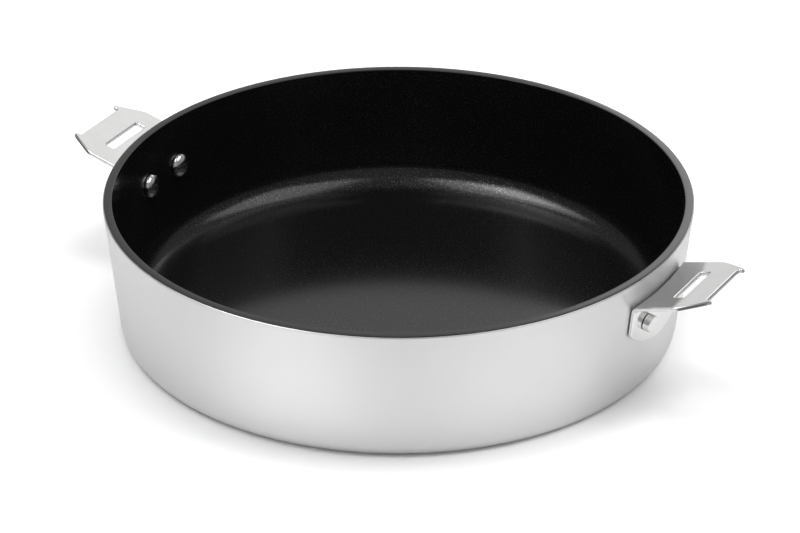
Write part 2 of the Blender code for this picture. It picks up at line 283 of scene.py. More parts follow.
class NodeSheet:
    """The shader nodes of one material or world, with short calls to add and join them."""

    def __init__(self, tree: bpy.types.NodeTree) -> None:
        """Start an empty sheet.

        Args:
            tree: Node tree to fill, whose present nodes are removed.
        """
        self.tree = tree
        tree.nodes.clear()

    def join(self, value: object, target: Socket) -> None:
        """Link an output to an input, or set the input to a constant.

        Args:
            value: Output socket or constant.
            target: Input socket.
        """
        if isinstance(value, Socket):
            self.tree.links.new(value, target)
        else:
            target.default_value = value

    def add(self, kind: str, *values: object, **settings: object) -> Node:
        """Add a node.

        Args:
            kind: Blender's name of the node type.
            values: Outputs or constants for its first inputs, in their order.
            settings: Attributes of the node, or inputs by name with spaces as underscores.

        Returns:
            The node.
        """
        node = self.tree.nodes.new(kind)
        for name, value in settings.items():
            label = name.replace("_", " ").title()
            if label in node.inputs:
                self.join(value, node.inputs[label])
            else:
                setattr(node, name, value)
        for value, socket in zip(values, node.inputs):
            self.join(value, socket)
        return node

    def math(self, operation: str, *values: Value) -> Socket:
        """Result of a Math node."""
        return self.add("ShaderNodeMath", *values, operation=operation).outputs[0]

    def vector_math(self, operation: str, *values: object) -> Socket:
        """Result of a Vector Math node, which is a vector or a plain number."""
        node = self.add("ShaderNodeVectorMath", *values, operation=operation)
        return node.outputs["Value" if operation in PLAIN_RESULTS else "Vector"]

    def more(self, value: Value, pattern: Value, amount: Value) -> Socket:
        """A value with an amount of a pattern added."""
        return self.math("ADD", value, self.math("MULTIPLY", pattern, amount))

    def spread(
        self, value: Value, low: float, high: float, to_low: Value = 0.0, to_high: Value = 1.0,
    ) -> Socket:
        """Map a range smoothly onto another.

        Args:
            value: Number to map.
            low: Start of its range.
            high: End of its range.
            to_low: Result at and below the start.
            to_high: Result at and above the end.

        Returns:
            The mapped number.
        """
        return self.add(
            "ShaderNodeMapRange", value, low, high, to_low, to_high,
            interpolation_type="SMOOTHSTEP",
        ).outputs["Result"]

    def blend_colour(self, share: Value, first: Colour, second: Colour) -> Socket:
        """Mix two colours.

        Args:
            share: 0 gives the first colour and 1 the second.
            first: First colour.
            second: Second colour.

        Returns:
            The mixed colour.
        """
        node = self.add("ShaderNodeMix", data_type="RGBA")
        self.join(share, node.inputs[0])
        for colour, socket in ((first, node.inputs[6]), (second, node.inputs[7])):
            self.join(colour if isinstance(colour, Socket) else (*colour, 1.0), socket)
        return node.outputs[2]

    def place(self) -> Socket:
        """Place on the piece, in metres."""
        return self.add("ShaderNodeTexCoord").outputs["Object"]

    def along(self, axis: str) -> Socket:
        """Place on the piece along one axis, in metres."""
        return self.add("ShaderNodeSeparateXYZ", self.place()).outputs[axis]

    def level_place(self) -> Socket:
        """Place on the piece, brought to the level of its underside."""
        return self.vector_math("MULTIPLY", self.place(), (1.0, 1.0, 0.0))

    def radius(self) -> Socket:
        """Distance from the pan's axis, in metres."""
        return self.vector_math("LENGTH", self.level_place())

    def noise(self, grain: Grain, place: Socket | None = None) -> Socket:
        """Noise from 0 to 1.

        Args:
            grain: Kind of noise.
            place: Place to read it at, or None for the stretched place on the piece.

        Returns:
            The noise.
        """
        if place is None:
            place = self.vector_math("MULTIPLY", self.place(), grain.stretch)
        return self.add(
            "ShaderNodeTexNoise", Vector=place, Scale=grain.scale, Detail=grain.detail,
            Roughness=grain.strength,
        ).outputs["Fac"]

    def turned_lines(self, across: Socket, pitch: float) -> Socket:
        """Fine lines round a turned piece, each a little different along its way.

        Args:
            across: Radius or height that the lines follow one another along.
            pitch: Typical distance between lines.

        Returns:
            Noise from 0 to 1.
        """
        direction = self.vector_math("NORMALIZE", self.level_place())
        round_axis = self.vector_math("MULTIPLY", direction, TURNED.stretch)
        step = self.add("ShaderNodeCombineXYZ", Z=self.math("DIVIDE", across, pitch))
        return self.noise(TURNED, self.vector_math("ADD", round_axis, step.outputs[0]))

    def bump(self, height: Socket, relief: Relief, under: Socket | None = None) -> Socket:
        """Tilt the surface by a pattern.

        Args:
            height: Pattern from 0 to 1.
            relief: How high it stands.
            under: Normal to start from, or None for the surface's own.

        Returns:
            The tilted normal.
        """
        node = self.add(
            "ShaderNodeBump", Strength=relief.share, Distance=relief.depth, Height=height,
        )
        if under is not None:
            self.join(under, node.inputs["Normal"])
        return node.outputs["Normal"]

    def tone(self, pattern: Socket, darkest: float, reach: float = 0.2) -> Socket:
        """Share of brightness, from darkest to 1, within reach of the pattern's middle."""
        return self.spread(pattern, 0.5 - reach, 0.5 + reach, darkest, 1.0)

    def finish_with(self, shader: Node, output: str = "ShaderNodeOutputMaterial") -> None:
        """Join a shader to the output node."""
        self.join(shader.outputs[0], self.add(output).inputs["Surface"])

    def metal(
        self, colour: Colour, shade: Socket, roughness: Socket, normal: Socket, **more: object,
    ) -> None:
        """Finish the sheet with bare metal.

        Args:
            colour: Its colour.
            shade: Share of that colour's brightness.
            roughness: Its roughness.
            normal: Its tilted normal.
            more: Further inputs of the shader.
        """
        self.finish_with(self.add(
            "ShaderNodeBsdfPrincipled", Base_Color=self.blend_colour(shade, BLACK, colour),
            Metallic=1.0, Roughness=roughness, Normal=normal, **more,
        ))


def new_material(name: str) -> tuple[Material, NodeSheet]:
    """Make a material.

    Args:
        name: Name of the material.

    Returns:
        The material and an empty sheet of its nodes.
    """
    material = bpy.data.materials.new(name)
    material.use_nodes = True
    return material, NodeSheet(material.node_tree)


@dataclass(frozen=True)
class SatinAluminium:
    """Finely turned and blasted aluminium, silver and satin."""

    colour: Triple = (0.80, 0.80, 0.805)
    darkest: float = 0.985
    cloud: Grain = Grain(22.0, 3.0)
    roughness: float = 0.39
    line_roughness: float = 0.06
    stretch: float = 0.6
    line_pitch: float = 0.00035
    line_relief: Relief = Relief(0.25, 0.000004)
    grain: Grain = Grain(3200.0)
    grain_relief: Relief = Relief(0.35, 0.000006)

    def material(self) -> Material:
        """Build the material."""
        material, sheet = new_material("satin aluminium")
        lines = sheet.turned_lines(sheet.along("Z"), self.line_pitch)
        grain = sheet.noise(self.grain)
        tone = sheet.tone(sheet.noise(self.cloud), self.darkest)
        shade = sheet.math("MULTIPLY", tone, sheet.tone(grain, self.darkest))
        roughness = sheet.more(self.roughness, lines, self.line_roughness)
        normal = sheet.bump(grain, self.grain_relief, sheet.bump(lines, self.line_relief))
        upward = sheet.add("ShaderNodeCombineXYZ", Z=1.0)
        sheet.metal(
            self.colour, shade, roughness, normal, Anisotropic=self.stretch,
            Tangent=upward.outputs["Vector"],
        )
        return material


@dataclass(frozen=True)
class NonstickCoat:
    """Semi-gloss black coating, baked on, with mica flecks of a third of a millimetre."""

    black: Triple = (0.0045, 0.0041, 0.0044)
    mica: Triple = (0.22, 0.22, 0.215)
    roughness: float = 0.18
    floor_roughness: float = 0.135
    floor_edge: Point = (0.115, 0.123)
    fleck_roughness: float = 0.30
    fleck_cells: float = 3000.0
    fleck_share: float = 0.26
    smallest_fleck: float = 0.136
    fleck_growth: float = 0.34
    fleck_tilt: float = 0.12
    rim_height: float = 0.0676
    peel: Grain = Grain(620.0)
    peel_relief: Relief = Relief(0.20, 0.00002)
    ring_pitch: float = 0.0011
    ring_roughness: float = 0.02
    ring_relief: Relief = Relief(0.22, 0.00001)

    def material(self) -> Material:
        """Build the material."""
        material, sheet = new_material("non-stick coat")
        cells = sheet.add(
            "ShaderNodeTexVoronoi", Vector=sheet.place(), Scale=self.fleck_cells, Randomness=1.0,
        )
        chance, growth, _ = sheet.add("ShaderNodeSeparateColor", cells.outputs["Color"]).outputs
        picked = sheet.math("LESS_THAN", chance, self.fleck_share)
        size = sheet.more(self.smallest_fleck, growth, self.fleck_growth)
        inside = sheet.math("LESS_THAN", cells.outputs["Distance"], size)
        below = sheet.math("LESS_THAN", sheet.along("Z"), self.rim_height)
        fleck = sheet.math("MULTIPLY", sheet.math("MULTIPLY", picked, inside), below)
        lean = sheet.vector_math(
            "MULTIPLY", sheet.vector_math("SUBTRACT", cells.outputs["Color"], MID_GREY),
            sheet.math("MULTIPLY", fleck, self.fleck_tilt),
        )
        radius = sheet.radius()
        rings = sheet.turned_lines(radius, self.ring_pitch)
        normal = sheet.bump(sheet.noise(self.peel), self.peel_relief)
        normal = sheet.bump(rings, self.ring_relief, normal)
        tilted = sheet.vector_math("NORMALIZE", sheet.vector_math("ADD", normal, lean))
        even = sheet.spread(radius, *self.floor_edge, self.floor_roughness, self.roughness)
        roughness = sheet.more(even, rings, self.ring_roughness)
        roughness = sheet.spread(fleck, 0.0, 1.0, roughness, self.fleck_roughness)
        sheet.finish_with(sheet.add(
            "ShaderNodeBsdfPrincipled", Metallic=fleck, Roughness=roughness, Normal=tilted,
            Base_Color=sheet.blend_colour(fleck, self.black, self.mica),
        ))
        return material


@dataclass(frozen=True)
class SheetSteel:
    """Bright stainless sheet with a faint rolling grain along the pan's radius."""

    colour: Triple = (0.84, 0.84, 0.835)
    darkest: float = 0.97
    cloud: Grain = Grain(140.0)
    roughness: float = 0.09
    grain_roughness: float = 0.04
    grain: Grain = Grain(90.0, 3.0, 0.6, (1.0, 40.0, 10.0))
    grain_relief: Relief = Relief(0.12, 0.000003)

    def material(self) -> Material:
        """Build the material."""
        material, sheet = new_material("bright sheet steel")
        grain = sheet.noise(self.grain)
        shade = sheet.tone(sheet.noise(self.cloud), self.darkest)
        roughness = sheet.more(self.roughness, grain, self.grain_roughness)
        normal = sheet.bump(grain, self.grain_relief)
        sheet.metal(self.colour, shade, roughness, normal)
        return material


@dataclass(frozen=True)
class ShearedEdge:
    """Punched edge of the sheet, duller, with shear marks through its thickness.

    It has a painted highlight near the pan, on the slot and the sides, where its colour is
    brighter, and painted shade on the slanted edges at the plate's two outer corners, where it is
    much darker.
    """

    colour: Triple = (0.72, 0.72, 0.715)
    # painted highlight near the pan and painted shade on the slanted corner edges, as colours
    painted_light_near_colour: Triple = (0.88, 0.88, 0.875)
    painted_shade_slant_colour: Triple = (0.20, 0.20, 0.20)
    painted_light_near_end: Point = (0.1655, 0.1675)
    painted_shade_slant_start: Point = (0.0185, 0.0205)
    darkest: float = 0.86
    contrast: float = 0.25
    roughness: float = 0.30
    mark_roughness: float = 0.12
    marks: Grain = Grain(100.0, stretch=(26.0, 26.0, 5.0))
    mark_relief: Relief = Relief(0.4, 0.00001)

    def material(self) -> Material:
        """Build the material."""
        material, sheet = new_material("sheared steel edge")
        marks = sheet.noise(self.marks)
        shade = sheet.tone(marks, self.darkest, self.contrast)
        roughness = sheet.more(self.roughness, marks, self.mark_roughness)
        # painted shade: a much darker colour on the slanted edges at the outer corners
        slanted = sheet.spread(sheet.math("ABSOLUTE", sheet.along("Y")), *self.painted_shade_slant_start)
        steel = sheet.blend_colour(slanted, self.colour, self.painted_shade_slant_colour)
        # painted highlight: a brighter colour on the edge near the pan
        beyond = sheet.spread(sheet.radius(), *self.painted_light_near_end)
        steel = sheet.blend_colour(beyond, self.painted_light_near_colour, steel)
        sheet.metal(steel, shade, roughness, sheet.bump(marks, self.mark_relief))
        return material


@dataclass(frozen=True)
class PolishedSteel:
    """Polished dome inside the pan, and a duller button outside it."""

    colour: Triple = (0.86, 0.86, 0.855)
    darkest: float = 0.96
    roughness: float = 0.13
    button_roughness: float = 0.34
    wall_radii: Point = (0.141, 0.142)
    haze: Grain = Grain(900.0, 3.0)
    haze_roughness: float = 0.04
    scuff: Grain = Grain(5200.0, 1.0)
    scuff_relief: Relief = Relief(0.10, 0.000002)

    def material(self) -> Material:
        """Build the material."""
        material, sheet = new_material("polished rivet steel")
        haze = sheet.noise(self.haze)
        even = sheet.spread(
            sheet.radius(), *self.wall_radii, self.roughness, self.button_roughness,
        )
        roughness = sheet.more(even, haze, self.haze_roughness)
        normal = sheet.bump(sheet.noise(self.scuff), self.scuff_relief)
        sheet.metal(self.colour, sheet.tone(haze, self.darkest), roughness, normal)
        return material


@dataclass(frozen=True)
class TurnedSteel:
    """Face of the base disc, turned in fine rings."""

    colour: Triple = (0.60, 0.60, 0.605)
    darkest: float = 0.90
    roughness: float = 0.25
    line_roughness: float = 0.10
    line_pitch: float = 0.0005
    line_relief: Relief = Relief(0.4, 0.000008)

    def material(self) -> Material:
        """Build the material."""
        material, sheet = new_material("turned disc steel")
        lines = sheet.turned_lines(sheet.radius(), self.line_pitch)
        roughness = sheet.more(self.roughness, lines, self.line_roughness)
        normal = sheet.bump(lines, self.line_relief)
        sheet.metal(self.colour, sheet.tone(lines, self.darkest), roughness, normal)
        return material


@dataclass(frozen=True)
class Vessel:
    """The turned pieces on the pan's axis: body, lining and base disc."""

    height: float = 0.0685
    rim_radius: float = 0.1446
    draft: float = math.radians(6.08)
    outer_corner: float = 0.0062
    rim_edge: float = 0.0005
    wall: float = 0.0046
    floor: float = 0.0050
    inner_corner: float = 0.0140
    lining: float = 0.0004
    disc_radius: float = 0.1050
    disc: float = 0.0006
    gap: float = 0.0003
    rim_seam: float = 0.00005
    groove_radii: tuple[float, ...] = (0.022, 0.044, 0.066, 0.088)
    groove_width: float = 0.0012
    groove_depth: float = 0.00012
    foot_groove: Point = (0.1165, 0.1195)
    foot_groove_depth: float = 0.0003
    steps: int = 360
    corner_steps: int = 20
    edge_steps: int = 5
    support: float = 0.0004

    def outer_radius(self, height: float) -> float:
        """Radius of the outer wall at a height."""
        return self.rim_radius - (self.height - height) * math.tan(self.draft)

    def wall_distance(self, rim_radius: float) -> float:
        """Distance of a sloping wall's line from the origin, from its radius at the rim."""
        return rim_radius * math.cos(self.draft) - self.height * math.sin(self.draft)

    def wall_point(self, distance: float, height: float) -> Point:
        """Point at a height on a line as steep as the wall, from that line's distance."""
        return (distance + height * math.sin(self.draft)) / math.cos(self.draft), height

    def cavity(self, offset: float, top: float) -> Profile:
        """Cross-section of the cavity, or of a surface behind it.

        Args:
            offset: How far behind the cavity's own surface.
            top: Height that it ends at.

        Returns:
            Points from the axis outwards and up.
        """
        distance = self.wall_distance(self.rim_radius - self.wall)
        radius = self.inner_corner
        centre = self.wall_point(distance - radius, self.floor + radius)
        corner = arc(centre, radius + offset, -QUARTER_TURN, -self.draft, self.corner_steps)
        return [(0.0, self.floor - offset), *corner, self.wall_point(distance + offset, top)]

    def groove(self, inner: float, outer: float, depth: float) -> Profile:
        """Cross-section of a groove in the underside, between two radii, from its outside in."""
        return [(outer, 0.0), (outer - depth, depth), (inner + depth, depth), (inner, 0.0)]

    def body_profile(self) -> Profile:
        """Cross-section of the aluminium body, from the cavity over the rim to the underside."""
        top = self.height - self.lining - self.rim_seam
        edge = top - self.rim_edge
        rim_centre = (self.outer_radius(edge) - self.rim_edge, edge)
        rim = arc(rim_centre, self.rim_edge, QUARTER_TURN, -self.draft, self.edge_steps)
        radius = self.outer_corner
        centre = self.wall_point(self.wall_distance(self.rim_radius) - radius, radius)
        corner = arc(centre, radius, -self.draft, -QUARTER_TURN, self.corner_steps)
        groove = self.groove(*self.foot_groove, self.foot_groove_depth)
        seat_radius, seat_height = self.disc_radius + self.gap, self.disc + self.gap
        seat = [(seat_radius, 0.0), (seat_radius, seat_height), (0.0, seat_height)]
        return self.cavity(self.lining + self.gap, top) + rim + corner + groove + seat

    def lining_profile(self) -> Profile:
        """Cross-section of the lining, which turns over the rim."""
        under = self.height - self.lining
        inside = self.cavity(0.0, under)
        edge_centre = (inside[-1][0] + self.lining, under)
        edge = arc(edge_centre, self.lining, math.pi, QUARTER_TURN, self.edge_steps)[1:]
        cap_radius = self.outer_radius(under) - self.rim_edge
        round_over = self.lining / 2
        cap_centre = (cap_radius - round_over, self.height - round_over)
        cap = arc(cap_centre, round_over, QUARTER_TURN, 0.0, self.edge_steps)
        back = self.cavity(self.lining, under)
        return inside + edge + cap + [(cap_radius, under)] + back[::-1]

    def disc_profile(self) -> Profile:
        """Cross-section of the base disc, with shallow rings turned into its face."""
        profile = [(0.0, self.disc), (self.disc_radius, self.disc), (self.disc_radius, 0.0)]
        half = self.groove_width / 2
        for radius in reversed(self.groove_radii):
            profile += self.groove(radius - half, radius + half, self.groove_depth)
        return profile + [(0.0, 0.0)]

    def build(self, holes: list["Rivet"]) -> None:
        """Build the three turned pieces.

        Args:
            holes: Rivets that pass through body and lining.
        """
        for name, profile, node, slot, finish in (
            ("vessel", self.body_profile(), "pan_body", "satin_aluminium", SatinAluminium()),
            ("lining", self.lining_profile(), "nonstick_lining", "black_nonstick", NonstickCoat()),
        ):
            mesh = spin_mesh(name, supported(profile, self.support), self.steps)
            mesh = drill(mesh, [rivet.hole_mesh() for rivet in holes])
            add_piece(mesh, node, slot, finish.material())
        disc = spin_mesh("induction_disc", self.disc_profile(), self.steps)
        add_piece(disc, "base_disc", "disc_steel", TurnedSteel().material())


@dataclass(frozen=True)
class Rivet:
    """A set rivet through wall, lining and flange."""

    side: Side
    place: Place
    vessel: Vessel
    spacing: float = 0.0280
    drop: float = 0.0255
    shank: float = 0.0025
    dome: float = 0.0061
    dome_height: float = 0.0030
    dome_edge: float = 0.0004
    button: float = 0.0043
    button_height: float = 0.0034
    button_edge: float = 0.0007
    sheet: float = 0.0020
    steps: int = 72
    dome_steps: int = 16
    edge_steps: int = 6
    hole_steps: int = 48
    support: float = 0.0002
    long_run: float = 0.0020

    @property
    def name(self) -> str:
        """Side and place in words."""
        return f"{word(self.side)}_{word(self.place)}"

    def station(self) -> Matrix:
        """Placement of the rivet: origin on the wall's outer face and +Z outward."""
        height = self.vessel.height - self.drop
        wall = self.vessel.outer_radius(height)
        azimuth = self.place.value * math.asin(self.spacing / 2 / wall)
        outward = Vector((math.cos(azimuth), math.sin(azimuth), 0.0))
        seat = outward * wall + Vector((0.0, 0.0, height))
        normal = outward - Vector((0.0, 0.0, math.tan(self.vessel.draft)))
        facing = normal.to_track_quat("Z", "Y").to_matrix().to_4x4()
        return Matrix.Rotation(self.side.value, 4, "Z") @ Matrix.Translation(seat) @ facing

    def profile(self) -> Profile:
        """Cross-section along the rivet's axis, outside end first."""
        gap = self.vessel.gap
        seat = 2 * gap + self.sheet
        top = seat + self.button_height
        inner = self.vessel.outer_radius(self.vessel.height - self.drop) - self.vessel.wall
        sagitta = self.dome * self.dome / (2 * inner)
        dome_seat = -(self.vessel.wall * math.cos(self.vessel.draft) + gap + sagitta)
        brim = dome_seat - self.dome_edge
        edge_centre = (self.button - self.button_edge, top - self.button_edge)
        button = [(0.0, top)]
        button += arc(edge_centre, self.button_edge, QUARTER_TURN, 0.0, self.edge_steps)
        button += [(self.button, seat)]
        shank = [(self.shank, seat), (self.shank, dome_seat)]
        rounding = arc((0.0, 0.0), 1.0, 0.0, QUARTER_TURN, self.dome_steps)
        dome = [(self.dome, dome_seat)]
        dome += [(self.dome * out, brim - self.dome_height * up) for out, up in rounding]
        return button + shank + dome

    def hole_mesh(self) -> Mesh:
        """Mesh of the hole that clears the shank."""
        radius = self.shank + self.vessel.gap
        half = self.vessel.wall * 2
        profile = [(0.0, half), (radius, half), (radius, -half), (0.0, -half)]
        return spin_mesh(f"hole_{self.name}", profile, self.hole_steps, self.station())

    def build(self, finish: Material) -> None:
        """Build the rivet.

        Args:
            finish: Material of its heads.
        """
        profile = supported(self.profile(), self.support, self.long_run)
        mesh = spin_mesh(f"set_rivet_{self.name}", profile, self.steps, self.station())
        add_piece(mesh, f"rivet_{self.name}", "polished_steel", finish)


@dataclass(frozen=True)
class BendSection:
    """The bracket's middle line at one place across it."""

    bend_start: float
    centre: Point
    radius: float
    first_angle: float
    last_angle: float
    flange_start: float
    lean: float

    @property
    def bend_length(self) -> float:
        """Length of the bend along the middle line."""
        return self.radius * (self.last_angle - self.first_angle)


@dataclass(frozen=True)
class Bracket:
    """A stamped bracket: a plate that rises outward and a flange that follows the wall.

    It is drawn flat, as (along, across) with the bend's line near zero, given its thickness and
    rounded edges, and then bent.
    """

    side: Side
    vessel: Vessel
    sheet: float = 0.0020
    bend_inside: float = 0.0020
    angle: float = math.radians(15.1)
    drop_at_wall: float = 0.0122
    plate_reach: float = 0.0306
    half_width: float = 0.0264
    shoulder_reach: float = 0.0198
    shoulder: float = 0.0090
    horn_reach: float = 0.0333
    horn_spacing: float = 0.0360
    horn_tip: float = 0.0011
    horn_root: float = 0.0010
    slot_length: float = 0.0287
    slot_width: float = 0.0052
    slot_reach: float = 0.0152
    slot_corner: float = 0.0006
    slot_corner_steps: int = 6
    flange_depth: float = 0.0390
    flange_bottom: float = 0.0400
    flange_corner: float = 0.0030
    top_round: float = 0.00055
    under_round: float = 0.0003
    round_steps: int = 4
    arc_step: float = math.radians(5)
    fewest_steps: int = 2
    cut_across: float = 0.0020
    cut_down: float = 0.0040
    cut_bend: float = 0.00035
    corner_rounds: int = 8
    probe: float = 0.00002
    sharpest_mitre: float = 0.3
    rivets: list[Rivet] = field(default_factory=list)

    def plate_top(self, reach: float) -> float:
        """Height of the plate's upper face at a distance beyond the rim's radius."""
        return self.vessel.height - self.drop_at_wall + reach * math.tan(self.angle)

    def flange_outward(self, height: float, across: float) -> float:
        """Distance of the flange's middle surface from the pan's axis, along the bracket.

        Args:
            height: Height above the underside.
            across: Distance across the bracket.

        Returns:
            The distance.
        """
        clear = (self.vessel.gap + self.sheet / 2) / math.cos(self.vessel.draft)
        ring = self.vessel.outer_radius(height) + clear
        return math.sqrt(ring * ring - across * across)

    def section(self, across: float) -> BendSection:
        """Middle line at one place across the bracket.

        Args:
            across: Distance across it.

        Returns:
            The line's bend and where it starts.
        """
        half = self.sheet / 2
        radius = self.bend_inside + half
        along = Vector((math.cos(self.angle), math.sin(self.angle)))
        rim = self.vessel.rim_radius
        corner = Vector((rim, self.plate_top(0.0)))
        for _ in range(self.corner_rounds):
            outward = self.flange_outward(corner.y, across)
            corner = Vector((outward, self.plate_top(outward - rim) - half / along.x))
        slope = math.tan(self.vessel.draft) * self.vessel.outer_radius(corner.y) / corner.x
        down = Vector((-slope, -1.0)).normalized()
        inward = (along + down).normalized()
        centre = corner + inward * radius / math.sin(down.angle(along) / 2)
        first = QUARTER_TURN + self.angle
        last = math.pi - math.atan(slope)
        start = centre.x + radius * math.cos(first)
        return BendSection(
            bend_start=(start - rim - half * along.y) / along.x,
            centre=(centre.x, centre.y), radius=radius, first_angle=first, last_angle=last,
            flange_start=centre.y + radius * math.sin(last), lean=math.atan(slope),
        )

    def middle(self, along: float, across: float) -> Vector:
        """Point of the bent sheet's middle surface.

        Args:
            along: Distance out along the flat sheet.
            across: Distance across it.

        Returns:
            The point, on the right-hand bracket.
        """
        section = self.section(across)
        back = section.bend_start - along
        if back <= 0.0:
            half, cos, sin = self.sheet / 2, math.cos(self.angle), math.sin(self.angle)
            out = self.vessel.rim_radius + along * cos + half * sin
            height = self.plate_top(0.0) + along * sin - half * cos
        elif back <= section.bend_length:
            angle = section.first_angle + back / section.radius
            out = section.centre[0] + section.radius * math.cos(angle)
            height = section.centre[1] + section.radius * math.sin(angle)
        else:
            height = section.flange_start - (back - section.bend_length) * math.cos(section.lean)
            out = self.flange_outward(height, across)
        return Vector((out, across, height))

    def along_at(self, height: float, across: float) -> float:
        """Distance along the flat sheet of a place on the flange.

        Args:
            height: Height of the place.
            across: Its distance across the bracket.

        Returns:
            The distance, which is negative on the flange.
        """
        section = self.section(across)
        down = (section.flange_start - height) / math.cos(section.lean)
        return section.bend_start - section.bend_length - down

    def bent(self, place: Vector) -> Vector:
        """Where a point of the thick flat sheet goes.

        Args:
            place: Distance along and across the flat sheet, and lift from its middle.

        Returns:
            The point, on the right-hand bracket.
        """
        along, across, lift = place
        step = self.probe
        out = self.middle(along + step, across) - self.middle(along - step, across)
        over = self.middle(along, across + step) - self.middle(along, across - step)
        return self.middle(along, across) + out.cross(over).normalized() * lift

    def arc_to(self, centre: Point, radius: float, start: float, end: float) -> Profile:
        """An arc in steps of the bracket's own fineness."""
        steps = math.ceil(abs(end - start) / self.arc_step)
        return arc(centre, radius, start, end, max(self.fewest_steps, steps))

    def flange_half(self) -> Profile:
        """Half of the flange's outline, from the middle of its bottom to the bend."""
        bottom = self.vessel.height - self.flange_depth + self.flange_bottom
        corner_across = self.half_width - self.flange_corner
        corner_reach = self.flange_bottom - self.flange_corner
        corner_angle = -math.acos(corner_across / corner_reach)
        corner_height = bottom + corner_reach * math.sin(corner_angle)
        corner = (corner_across, corner_height)
        arcs = self.arc_to((0.0, bottom), self.flange_bottom, -QUARTER_TURN, corner_angle)
        arcs += self.arc_to(corner, self.flange_corner, corner_angle, 0.0)[1:]
        return [(self.along_at(height, across), across) for across, height in arcs]

    def plate_half(self) -> Profile:
        """Half of the plate's outline, from the bend over the side and the horn to the end."""
        slant = math.cos(self.angle)
        shoulder = Vector((self.shoulder_reach / slant, self.half_width))
        tip = Vector((self.horn_reach / slant - self.horn_tip, self.horn_spacing / 2))
        chamfer = tip - shoulder
        chamfer_angle = math.atan2(chamfer.y, chamfer.x) + math.asin(self.horn_tip / chamfer.length)
        chamfer_side = QUARTER_TURN + chamfer_angle
        shoulder_start = shoulder.x - self.shoulder * math.tan(-chamfer_angle / 2)
        shoulder_centre = (shoulder_start, self.half_width - self.shoulder)
        root_centre = (
            self.plate_reach / slant + self.horn_root, tip.y - self.horn_tip - self.horn_root,
        )
        half = [(0.0, self.half_width)]
        half += self.arc_to(shoulder_centre, self.shoulder, QUARTER_TURN, chamfer_side)
        half += self.arc_to(tuple(tip), self.horn_tip, chamfer_side, -QUARTER_TURN)
        half += self.arc_to(root_centre, self.horn_root, QUARTER_TURN, math.pi)
        return half

    def outline(self) -> Profile:
        """Outline of the flat sheet, with the sheet on the left of its direction."""
        half = self.flange_half() + self.plate_half()
        other = [(along, -across) for along, across in half[1:]]
        return other + half[:0:-1] + half[:1]

    def slot(self) -> Profile:
        """Outline of the slot, with the sheet on the left of its direction."""
        middle = self.slot_reach / math.cos(self.angle)
        radius = self.slot_corner
        wide, long = self.slot_width / 2 - radius, self.slot_length / 2 - radius
        loop: Profile = []
        for corner, (out, over) in enumerate(((1, 1), (-1, 1), (-1, -1), (1, -1))):
            centre = (middle + out * wide, over * long)
            first = corner * QUARTER_TURN
            loop += arc(centre, radius, first, first + QUARTER_TURN, self.slot_corner_steps)
        return loop[::-1]

    def rivet_hole(self, rivet: Rivet) -> Profile:
        """Outline of a rivet's hole, with the sheet on the left of its direction.

        Args:
            rivet: The rivet.

        Returns:
            Points along and across the flat sheet.
        """
        across = rivet.place.value * rivet.spacing / 2
        centre = (self.along_at(self.vessel.height - rivet.drop, across), across)
        radius = rivet.shank + self.vessel.gap
        return arc(centre, radius, 0.0, -FULL_TURN, rivet.hole_steps)[:-1]

    def levels(self) -> list[tuple[float, float, Zone]]:
        """Rings of the sheet's edge from the under face to the upper one.

        Returns:
            Lift from the middle, inset from the outline, and the zone of the strip below it.
        """
        half = self.sheet / 2
        rings = []
        for radius, lift, start in (
            (self.under_round, self.under_round - half, -QUARTER_TURN),
            (self.top_round, half - self.top_round, 0.0),
        ):
            edge = arc((0.0, lift), radius, start, start + QUARTER_TURN, self.round_steps)
            rings += [(up, radius - out, Zone.ROUNDED) for out, up in edge]
        sheared = self.round_steps + 1
        rings[sheared] = (*rings[sheared][:2], Zone.SHEARED)
        return rings

    def inset(self, loop: Profile, distance: float) -> Profile:
        """Move a loop into the sheet, which is on its left.

        Args:
            loop: Points along and across the flat sheet.
            distance: How far they move.

        Returns:
            The moved loop.
        """
        moved = []
        for before, here, after in zip(loop[-1:] + loop[:-1], loop, loop[1:] + loop[:1]):
            first, last = (
                (Vector(end) - Vector(start)).orthogonal().normalized()
                for start, end in ((before, here), (here, after))
            )
            mean = (first + last).normalized()
            shift = mean * distance / max(self.sharpest_mitre, mean.dot(first))
            moved.append((here[0] + shift.x, here[1] + shift.y))
        return moved

    def flat_solid(self) -> bmesh.types.BMesh:
        """The thick flat sheet with its slot, holes and rounded edges, before bending."""
        work = bmesh.new()
        zone_layer = work.faces.layers.int.new("zone")
        loops = [self.outline(), self.slot(), *(self.rivet_hole(rivet) for rivet in self.rivets)]
        rings = self.levels()
        caps: dict[int, list[bmesh.types.BMEdge]] = {0: [], len(rings) - 1: []}
        for loop in loops:
            lift, distance, _ = rings[0]
            verts = [work.verts.new((*point, lift)) for point in self.inset(loop, distance)]
            edges = [work.edges.new(pair) for pair in zip(verts, verts[1:] + verts[:1])]
            caps[0] += edges
            for level, (lift, distance, zone) in enumerate(rings[1:], start=1):
                grown = set(bmesh.ops.extrude_edge_only(work, edges=edges)["geom"])
                for item in grown:
                    if isinstance(item, bmesh.types.BMFace):
                        item[zone_layer] = zone.value
                neighbours = ([edge.other_vert(vert) for edge in vert.link_edges] for vert in verts)
                verts = [next(other for other in near if other in grown) for near in neighbours]
                for vert, point in zip(verts, self.inset(loop, distance)):
                    vert.co = (*point, lift)
                edges = [work.edges.get(pair) for pair in zip(verts, verts[1:] + verts[:1])]
                if level in caps:
                    caps[level] += edges
        for edges in caps.values():
            bmesh.ops.triangle_fill(work, use_beauty=True, use_dissolve=False, edges=edges)
        bmesh.ops.recalc_face_normals(work, faces=work.faces)
        return work

